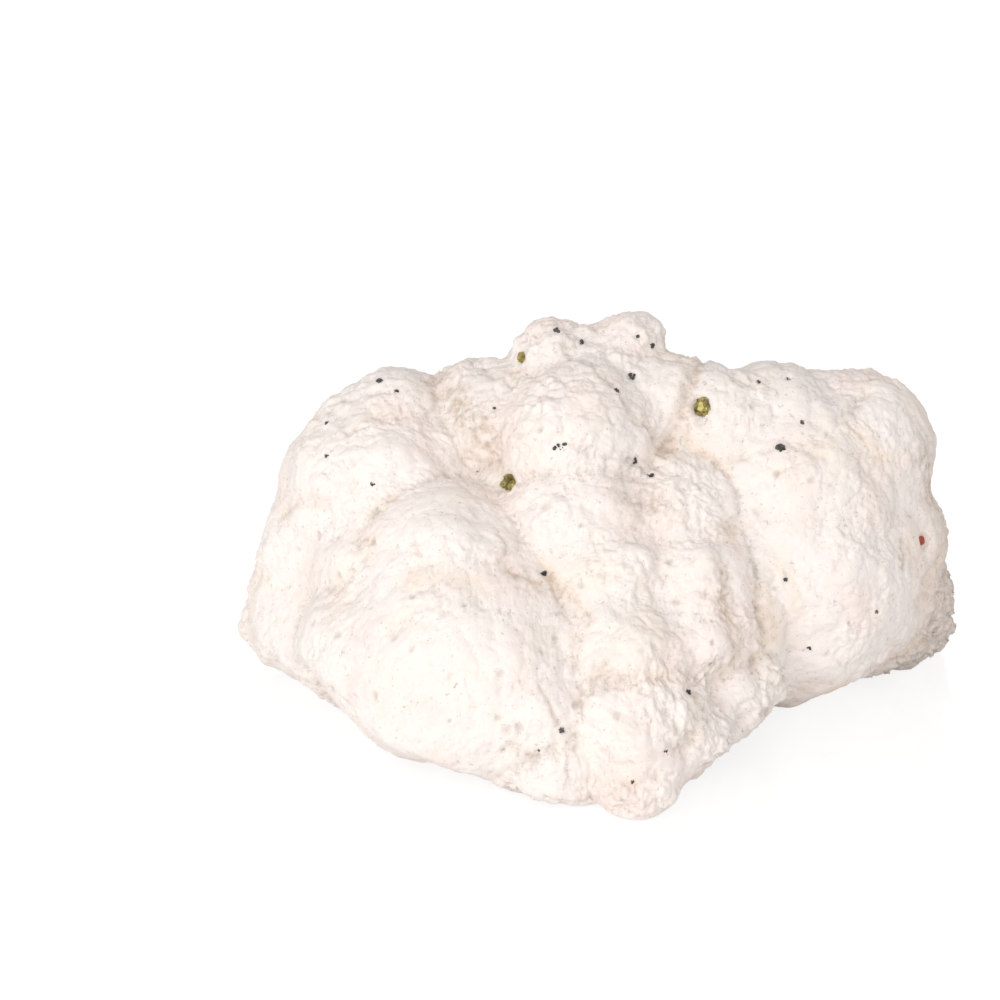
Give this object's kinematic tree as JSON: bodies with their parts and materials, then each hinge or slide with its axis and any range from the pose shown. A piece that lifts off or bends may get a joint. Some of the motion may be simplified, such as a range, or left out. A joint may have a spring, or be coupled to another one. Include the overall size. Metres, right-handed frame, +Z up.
{
  "type": "raw magnesite lump",
  "caption": "Hand-sized white nodular lump of raw magnesium carbonate, the mineral of gym chalk, with small brassy and dark crystals. It rests on its flat broken underside.",
  "frame": {"origin": "middle of the flat broken underside, which is the middle of the bounding box at its bottom", "axes": "+Z up, -Y towards the front where the pointed toe reaches forward, +X to the right of a viewer who faces the front, along the long side"},
  "size_m": [0.1082, 0.0739, 0.055],
  "materials": {
    "magnesite": "matt, powdery, warm white with peach stains in the seams",
    "pyrite": "metallic, brassy olive, striated",
    "dark_mineral": "dark grey, slightly metallic",
    "red_mineral": "dull red",
    "clear_mineral": "clear, glinting",
    "cleavage_face": "smooth, pearly cleavage face"
  },
  "bodies": {
    "root": {"back_centre": "magnesite", "back_left": "magnesite", "back_left_end": "magnesite", "back_low_left": "magnesite", "back_low_right": "magnesite", "back_right": "magnesite", "back_right_end": "magnesite", "back_upper": "magnesite", "broken_corner": "magnesite", "brow": "magnesite", "brow_left": "magnesite", "centre_ridge_low": "magnesite", "centre_ridge_mid": "magnesite", "centre_ridge_top": "magnesite", "cheek": "magnesite", "cheek_low": "magnesite", "clear_crystal": "clear_mineral", "cleavage_flake": "cleavage_face", "core": "magnesite", "crown_body": "magnesite", "crown_knob_left": "magnesite", "crown_knob_right": "magnesite", "crown_slab": "magnesite", "dark_blade": "dark_mineral", "dark_grains_centre": "dark_mineral", "dark_grains_crown": "dark_mineral", "dark_grains_left": "dark_mineral", "dark_grains_right": "dark_mineral", "dome_cap": "magnesite", "dome_flank": "magnesite", "dome_nodule": "magnesite", "foot": "magnesite", "foot_tip": "magnesite", "foot_upper": "magnesite", "front_dome": "magnesite", "low_nodule": "magnesite", "pyrite_crown": "pyrite", "pyrite_left": "pyrite", "pyrite_right": "pyrite", "red_grain": "red_mineral", "right_brow": "magnesite", "right_brow_inner": "magnesite", "right_bulk": "magnesite", "right_bulk_low": "magnesite", "right_flank": "magnesite", "right_flank_low": "magnesite", "right_ridge_low": "magnesite", "right_ridge_mid": "magnesite", "right_ridge_top": "magnesite", "right_shoulder": "magnesite", "right_upper_face": "magnesite", "saddle": "magnesite", "shoulder_outer": "magnesite", "shoulder_side": "magnesite", "shoulder_top": "magnesite", "side_bulge": "magnesite", "toe": "magnesite", "toe_apron": "magnesite", "toe_body": "magnesite", "toe_nodule": "magnesite"}
  },
  "joints": []
}
